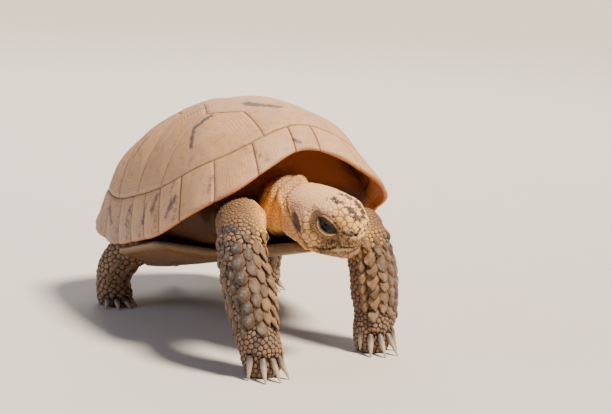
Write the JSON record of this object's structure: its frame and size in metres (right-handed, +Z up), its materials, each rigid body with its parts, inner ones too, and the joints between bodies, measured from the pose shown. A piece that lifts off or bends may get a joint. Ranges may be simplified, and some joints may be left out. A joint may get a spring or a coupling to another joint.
{
  "type": "tortoise",
  "caption": "Still life-size model of a young spur-thighed tortoise standing nose-up on its feet, head turned to its left and right foreleg reaching forward.",
  "frame": {"origin": "middle of the bounding box on the plane that the feet stand on", "axes": "+Z up; the animal faces -Y, its right side is -X, its tail is towards +Y"},
  "size_m": [0.0766, 0.1288, 0.0768],
  "materials": {
    "shell_horn": "dusty horn plates, pinkish tan with grey-blue smudges, satin",
    "belly_horn": "worn horn plates, olive brown, satin",
    "skin": "dry granular skin, tan to golden yellow, matte",
    "leg_scales": "overlapping horn scales, dark grey centres with tan rims, satin",
    "eye": "wet black-brown eyeball",
    "claw_horn": "pale grey horn, satin"
  },
  "bodies": {
    "root": {"carapace": "shell_horn", "eye_left": "eye", "eye_right": "eye", "fore_claw_left_1": "claw_horn", "fore_claw_left_2": "claw_horn", "fore_claw_left_3": "claw_horn", "fore_claw_left_4": "claw_horn", "fore_claw_left_5": "claw_horn", "fore_claw_right_1": "claw_horn", "fore_claw_right_2": "claw_horn", "fore_claw_right_3": "claw_horn", "fore_claw_right_4": "claw_horn", "fore_claw_right_5": "claw_horn", "fore_foot_left": "leg_scales", "fore_foot_right": "leg_scales", "forearm_left": "leg_scales", "forearm_right": "leg_scales", "head": "skin", "hind_claw_left_1": "claw_horn", "hind_claw_left_2": "claw_horn", "hind_claw_left_3": "claw_horn", "hind_claw_left_4": "claw_horn", "hind_claw_right_1": "claw_horn", "hind_claw_right_2": "claw_horn", "hind_claw_right_3": "claw_horn", "hind_claw_right_4": "claw_horn", "hind_foot_left": "leg_scales", "hind_foot_right": "leg_scales", "lower_jaw": "skin", "neck": "skin", "plastron": "belly_horn", "shank_left": "leg_scales", "shank_right": "leg_scales", "tail": "skin", "thigh_left": "skin", "thigh_right": "skin", "thigh_spur_left": "claw_horn", "thigh_spur_right": "claw_horn", "trunk": "skin", "upper_arm_left": "skin", "upper_arm_right": "skin"}
  },
  "joints": []
}
